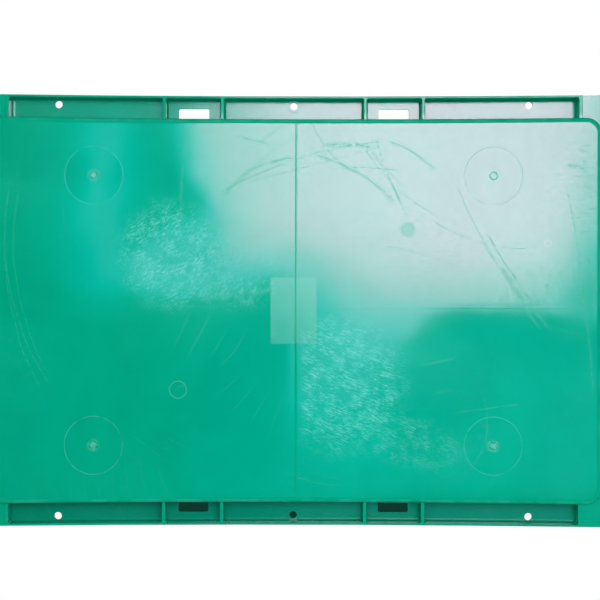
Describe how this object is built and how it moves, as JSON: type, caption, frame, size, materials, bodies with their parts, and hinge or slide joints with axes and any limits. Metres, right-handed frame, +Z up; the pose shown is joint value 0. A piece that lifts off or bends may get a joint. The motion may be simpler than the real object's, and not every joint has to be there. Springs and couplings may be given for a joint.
{
  "type": "plastic pallet",
  "caption": "Quarter-size moulded plastic pallet with a smooth raised deck, ribbed flange pockets with strap slots, hollow blocks and lengthwise runners for fork entry from all sides.",
  "frame": {"origin": "floor point under the centre of the deck, which is the centre of the bounding box's bottom face", "axes": "+X along the 600 mm length, +Y along the 400 mm width, +Z up from the floor to the load face"},
  "size_m": [0.6, 0.4, 0.1405],
  "materials": {
    "deck_plastic": "glossy teal-green moulded polyolefin with scuffs",
    "block_plastic": "satin teal-green moulded polyolefin",
    "runner_plastic": "satin teal-green moulded polyolefin, scraped by forks and floors",
    "grip_rubber": "matte black rubber",
    "screw_steel": "zinc-plated steel"
  },
  "bodies": {
    "root": {"deck": "deck_plastic", "block_front_left": "block_plastic", "block_front_middle": "block_plastic", "block_front_right": "block_plastic", "block_centre_left": "block_plastic", "block_centre_middle": "block_plastic", "block_centre_right": "block_plastic", "block_rear_left": "block_plastic", "block_rear_middle": "block_plastic", "block_rear_right": "block_plastic", "runner_front": "runner_plastic", "runner_centre": "runner_plastic", "runner_rear": "runner_plastic", "grip_plugs_front": "grip_rubber", "grip_plugs_centre": "grip_rubber", "grip_plugs_rear": "grip_rubber", "deck_screws_front": "screw_steel", "deck_screws_centre": "screw_steel", "deck_screws_rear": "screw_steel", "runner_screws_front": "screw_steel", "runner_screws_centre": "screw_steel", "runner_screws_rear": "screw_steel"}
  },
  "joints": []
}
